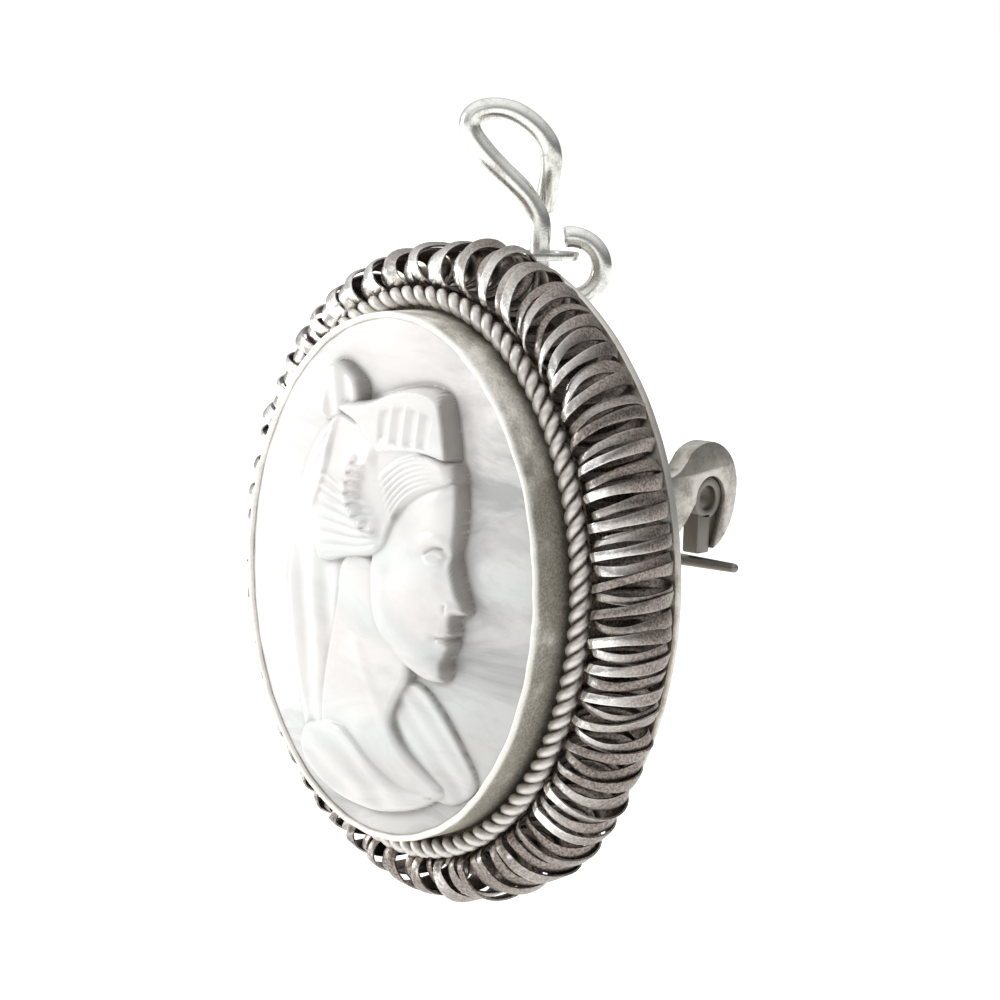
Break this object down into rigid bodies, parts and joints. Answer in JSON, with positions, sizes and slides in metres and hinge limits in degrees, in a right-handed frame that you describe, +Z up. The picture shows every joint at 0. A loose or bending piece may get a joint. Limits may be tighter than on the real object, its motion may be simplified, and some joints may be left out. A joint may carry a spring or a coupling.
{
  "type": "cameo brooch-pendant",
  "caption": "Oval shell cameo in a tall plain bezel with a twisted wire band, a coiled flat-wire border, a wire bail, and a hinged pin with a rolling catch.",
  "frame": {"origin": "middle of the pin's axis behind the backplate, where the piece is pinned on", "axes": "+Z up, the carved face towards -Y, the back and the wearer towards +Y, +X to the right seen from the front"},
  "size_m": [0.0339, 0.0168, 0.0491],
  "materials": {
    "silver_sheet": "aged silver sheet, softly polished, grey tarnish on the wall",
    "silver_wire": "satin silver wire, dark in its hollows",
    "tarnished_wire": "flattened silver wire, bright edges over dark brown-black tarnish",
    "mother_of_pearl": "polished shell, cloudy white with a faint pink and green sheen",
    "dark_metal": "dark tarnished base metal with worn edges"
  },
  "bodies": {
    "brooch": {"setting": "silver_sheet", "rope_band": "silver_wire", "coil_border": "tarnished_wire", "cameo": "mother_of_pearl"},
    "bail": {"bail": "silver_wire"},
    "roller": {"catch_roller": "dark_metal"},
    "pin": {"pin_stem": "dark_metal"}
  },
  "joints": [
    {"name": "bail_swing", "type": "hinge", "parent": "brooch", "child": "bail", "pos_m": [0.00285, 0.00045, 0.01677], "axis": [-0.7071, 0.7071, 0], "range_deg": [0, 150]},
    {"name": "roller_turn", "type": "hinge", "parent": "brooch", "child": "roller", "pos_m": [0.01415, 0.0003, 0.00385], "axis": [-1, 0, 0], "range_deg": [0, 38]},
    {"name": "pin_swing", "type": "hinge", "parent": "brooch", "child": "pin", "pos_m": [-0.0132, 0, 0], "axis": [0, 0, 1], "range_deg": [0, 100]}
  ]
}
